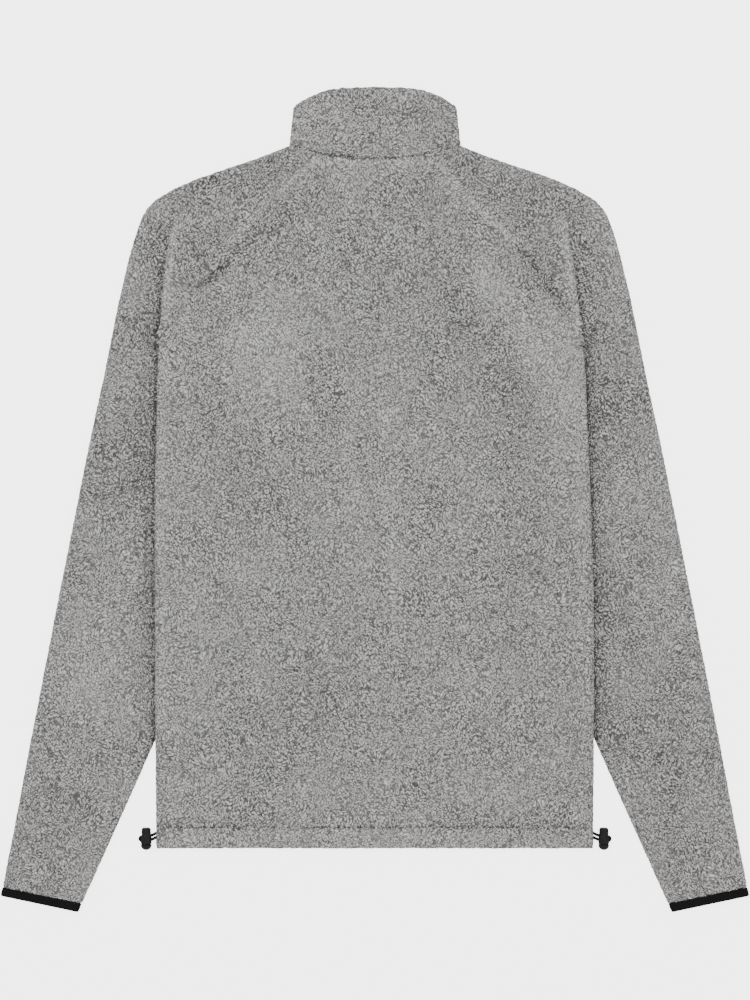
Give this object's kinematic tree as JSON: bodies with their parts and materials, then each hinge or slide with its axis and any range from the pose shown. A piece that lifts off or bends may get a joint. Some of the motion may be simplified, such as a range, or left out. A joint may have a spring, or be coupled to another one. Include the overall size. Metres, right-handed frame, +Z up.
{
  "type": "fleece jacket laid flat",
  "caption": "Raglan-sleeve fleece jacket with a stand collar and toggled hem cord, lying flat on its front, back up.",
  "frame": {"origin": "centre of the garment's outline on the surface it lies on", "axes": "+Z up from the surface, +Y towards the collar, +X towards the wearer's right sleeve as the back is seen"},
  "size_m": [0.7502, 0.8263, 0.0159],
  "materials": {
    "fleece": "matt",
    "knit": "matt",
    "tape": "matt",
    "cord": "matt",
    "plastic": "satin",
    "metal": "satin"
  },
  "bodies": {
    "jacket": {"back": "fleece", "front_left": "fleece", "front_right": "fleece", "sleeve_left": "fleece", "sleeve_right": "fleece", "collar": "fleece", "cuff_binding_left": "knit", "cuff_binding_right": "knit", "zip_tape_left": "tape", "zip_tape_right": "tape", "cord_lock_left": "plastic", "cord_button_left": "plastic", "cord_lock_right": "plastic", "cord_button_right": "plastic", "drawcord_left": "cord", "drawcord_right": "cord", "zip_slider": "metal"},
    "pull": {"zip_pull": "metal"}
  },
  "joints": [
    {"name": "zip_pull_hinge", "type": "hinge", "parent": "jacket", "child": "pull", "pos_m": [0, 0.333, 0.0005], "axis": [1, 0, 0], "range_deg": [0, 165]}
  ]
}
